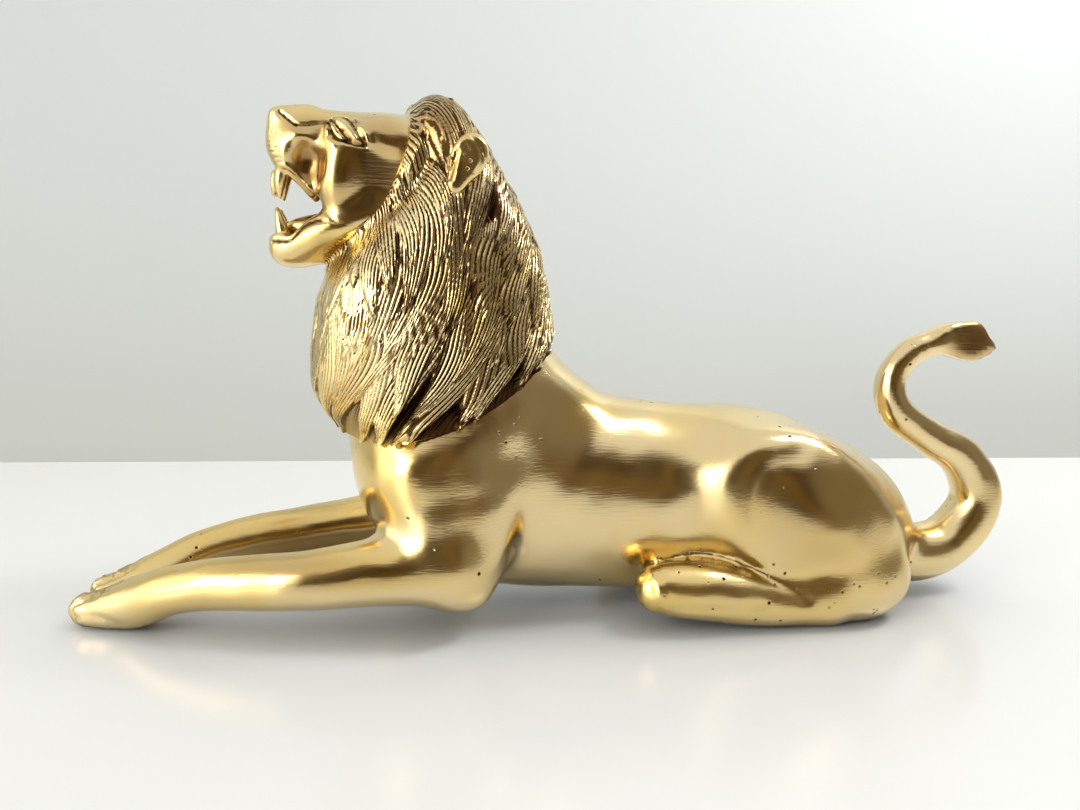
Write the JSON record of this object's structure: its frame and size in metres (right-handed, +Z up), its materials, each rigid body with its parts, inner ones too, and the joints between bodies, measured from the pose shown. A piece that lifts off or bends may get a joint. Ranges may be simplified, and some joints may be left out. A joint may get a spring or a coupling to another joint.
{
  "type": "lion statue",
  "caption": "Cast brass lion lying with its forelegs stretched out, head raised and jaws open, mane carved in locks and tail curled up behind.",
  "frame": {"origin": "on the surface the lion lies on, under the middle of its length and width", "axes": "-X the way the head looks, +Y the lion's right side, +Z up"},
  "size_m": [0.43, 0.107, 0.222],
  "materials": {
    "brass": "polished cast brass with dark patina in the mane's grooves"
  },
  "bodies": {
    "root": {"lion": "brass"}
  },
  "joints": []
}
